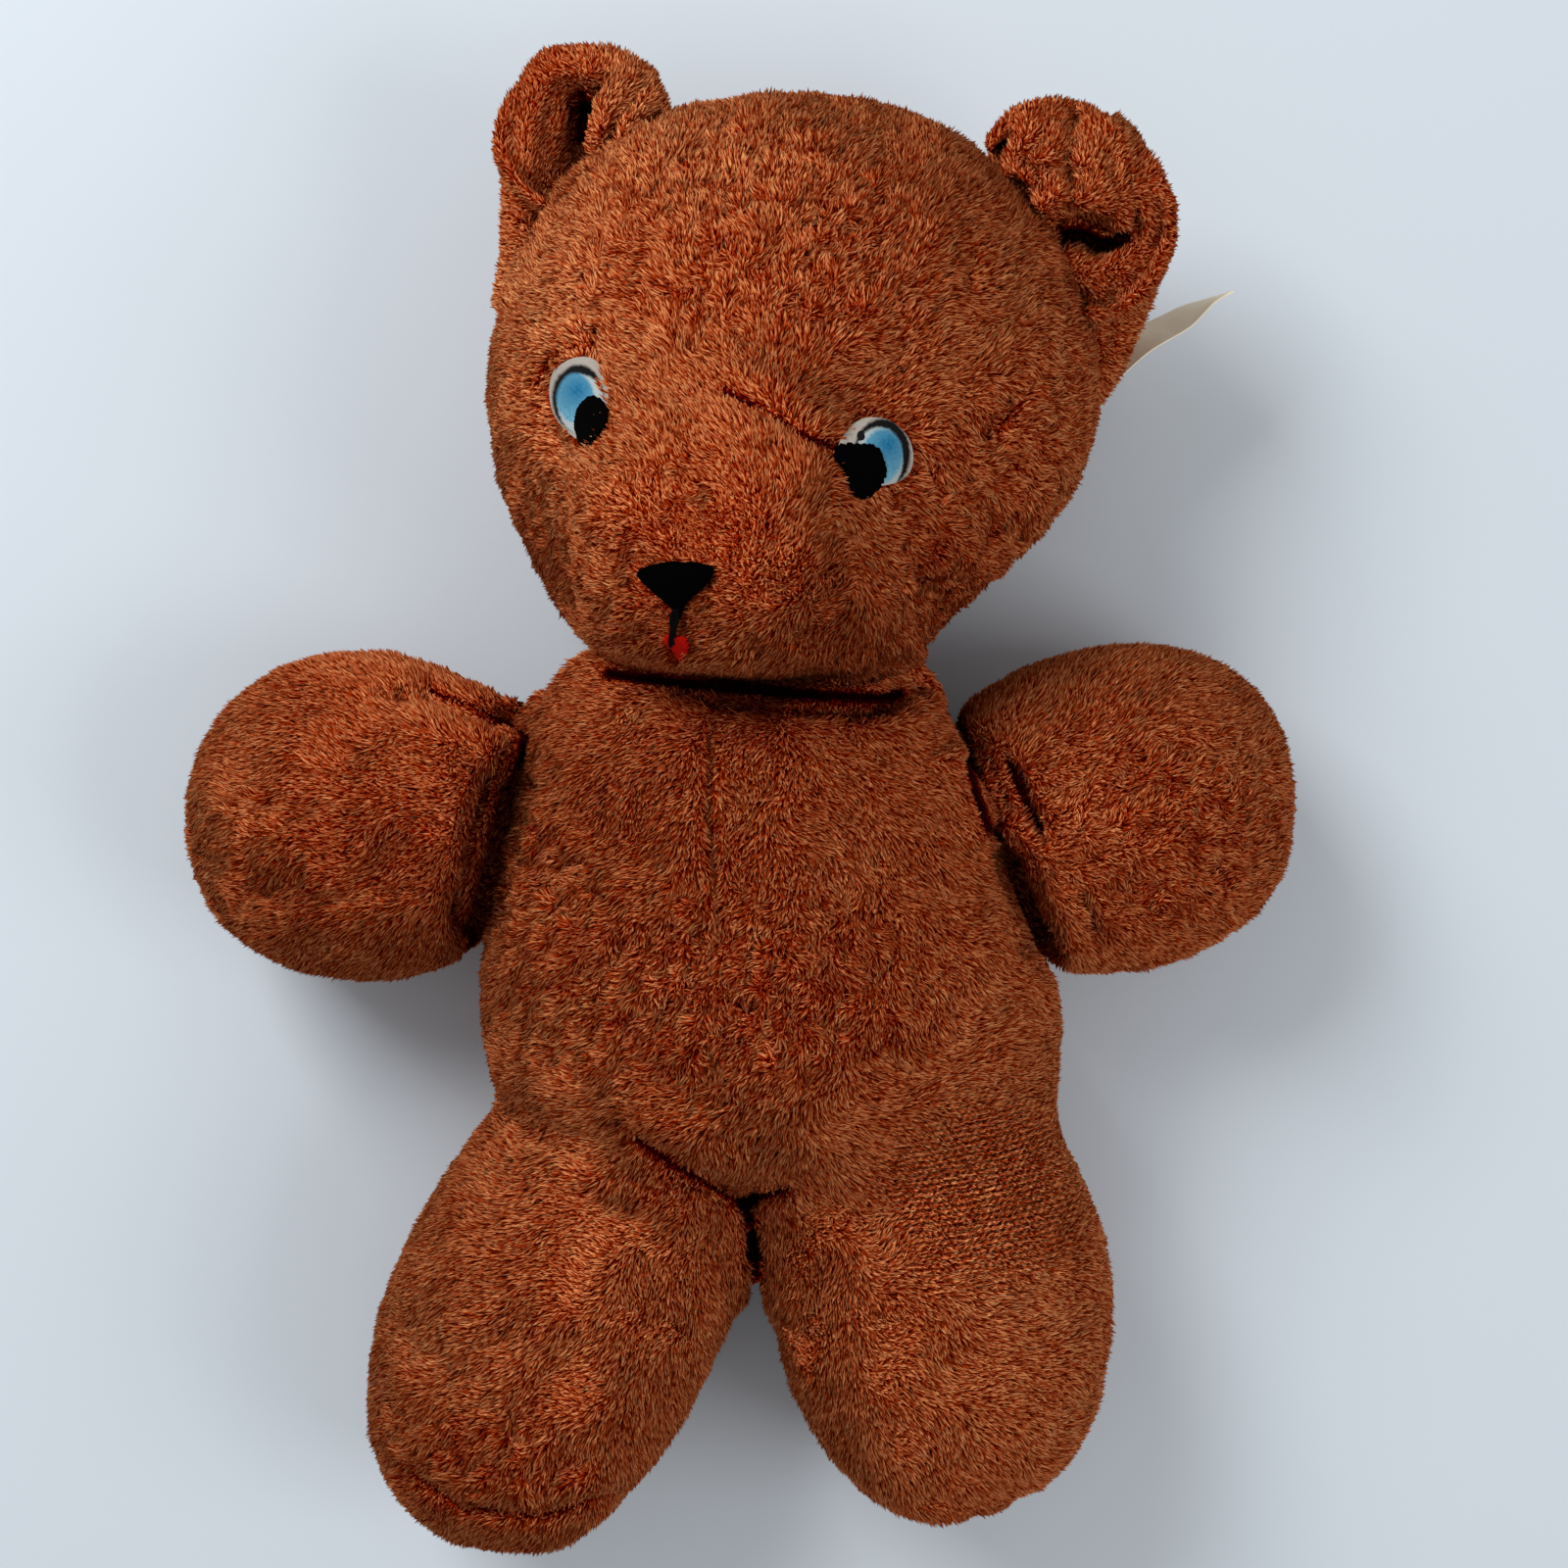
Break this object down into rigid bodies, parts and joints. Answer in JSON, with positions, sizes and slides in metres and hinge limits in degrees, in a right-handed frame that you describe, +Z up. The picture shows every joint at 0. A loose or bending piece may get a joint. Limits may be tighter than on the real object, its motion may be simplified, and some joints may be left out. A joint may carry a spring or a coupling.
{
  "type": "plush teddy bear",
  "caption": "Old chestnut-brown plush teddy bear, softly stuffed, lying on its back with spread arms and legs, cupped ears, printed side-glancing eyes and a sewn-in label.",
  "frame": {"origin": "on the ground, below the middle of the bear's outline as it lies on its back", "axes": "+Z up, out of the belly; +Y towards the top of the head; +X to the right as someone looking down at the face sees it, which is the bear's own left"},
  "size_m": [0.3208, 0.4342, 0.1558],
  "materials": {
    "plush": "matted short pile plush, chestnut brown, dull",
    "stuffing": "loose off-white fibre, unseen",
    "eye_felt": "white felt printed with a blue iris and a dark arc",
    "pupil_felt": "black flock felt, dull",
    "black_thread": "black embroidery thread with a faint gloss",
    "tongue_felt": "red felt, frayed",
    "label_cloth": "yellowed woven label cloth, creased, bare"
  },
  "bodies": {
    "root": {"arm_left_back": "plush", "arm_left_front": "plush", "arm_left_stuffing": "stuffing", "arm_right_back": "plush", "arm_right_front": "plush", "arm_right_stuffing": "stuffing", "ear_left_back": "plush", "ear_left_lining": "plush", "ear_right_back": "plush", "ear_right_lining": "plush", "eye_left": "eye_felt", "eye_right": "eye_felt", "head_back": "plush", "head_chin": "plush", "head_face": "plush", "head_stuffing": "stuffing", "label_tag": "label_cloth", "leg_left_back": "plush", "leg_left_front": "plush", "leg_left_sole": "plush", "leg_left_stuffing": "stuffing", "leg_right_back": "plush", "leg_right_front": "plush", "leg_right_sole": "plush", "leg_right_stuffing": "stuffing", "mouth_stitch": "black_thread", "nose": "black_thread", "pupil_left": "pupil_felt", "pupil_right": "pupil_felt", "tongue": "tongue_felt", "torso_back": "plush", "torso_front_left": "plush", "torso_front_right": "plush", "torso_stuffing": "stuffing"}
  },
  "joints": []
}
